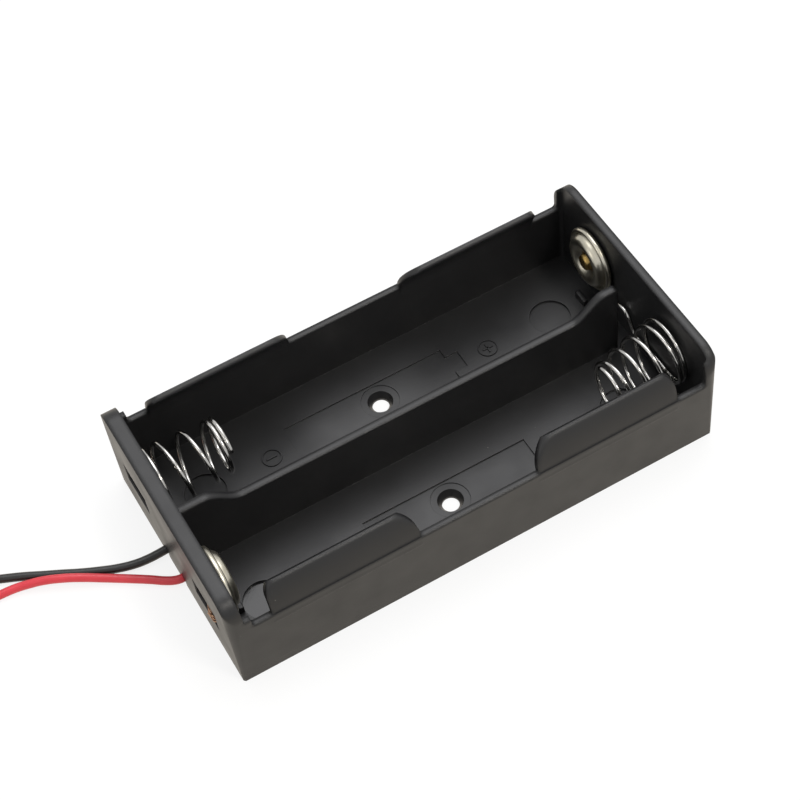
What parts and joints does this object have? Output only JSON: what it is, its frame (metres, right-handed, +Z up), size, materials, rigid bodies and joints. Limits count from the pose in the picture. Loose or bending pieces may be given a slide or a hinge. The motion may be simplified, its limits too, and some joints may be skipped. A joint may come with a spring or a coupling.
{
  "type": "battery holder",
  "caption": "Open moulded tray for two round cells side by side, with curled grips on its long walls, conical wire springs, pressed end caps, two screw holes and a red and a black lead.",
  "frame": {"origin": "centre of the underside of the moulded housing", "axes": "+X along the cells, away from the end that the leads leave; +Y across the two bays, towards the bay with the spring of the black lead; +Z up, out of the open side"},
  "size_m": [0.1263, 0.0564, 0.0186],
  "materials": {
    "housing": "moulded black plastic, slightly glossy",
    "spring": "nickel-plated spring wire",
    "cap": "pressed nickel-plated steel",
    "black_insulation": "flexible PVC",
    "red_insulation": "flexible PVC",
    "solder": "tinned copper strands",
    "tie": "plastic-coated twist tie"
  },
  "bodies": {
    "holder": {"housing": "housing", "positive_cap": "cap", "positive_ring": "spring", "bridge_cap": "cap", "black_tail": "black_insulation", "red_tail": "red_insulation", "black_joint": "solder", "red_joint": "solder", "black_lead": "black_insulation", "red_lead": "red_insulation", "black_coil": "black_insulation", "red_coil": "red_insulation", "black_tie": "tie", "red_tie": "tie", "black_end": "solder", "red_end": "solder"},
    "negative_contact": {"negative_spring": "spring"},
    "bridge_contact": {"bridge_spring": "spring"}
  },
  "joints": [
    {"name": "negative_press", "type": "slide", "parent": "holder", "child": "negative_contact", "axis": [-1, 0, 0], "range_m": [0, 0.0045], "stiffness_N_per_m": 300, "deforming": ["negative_spring"]},
    {"name": "bridge_press", "type": "slide", "parent": "holder", "child": "bridge_contact", "axis": [1, 0, 0], "range_m": [0, 0.0045], "stiffness_N_per_m": 300, "deforming": ["bridge_spring"]}
  ]
}
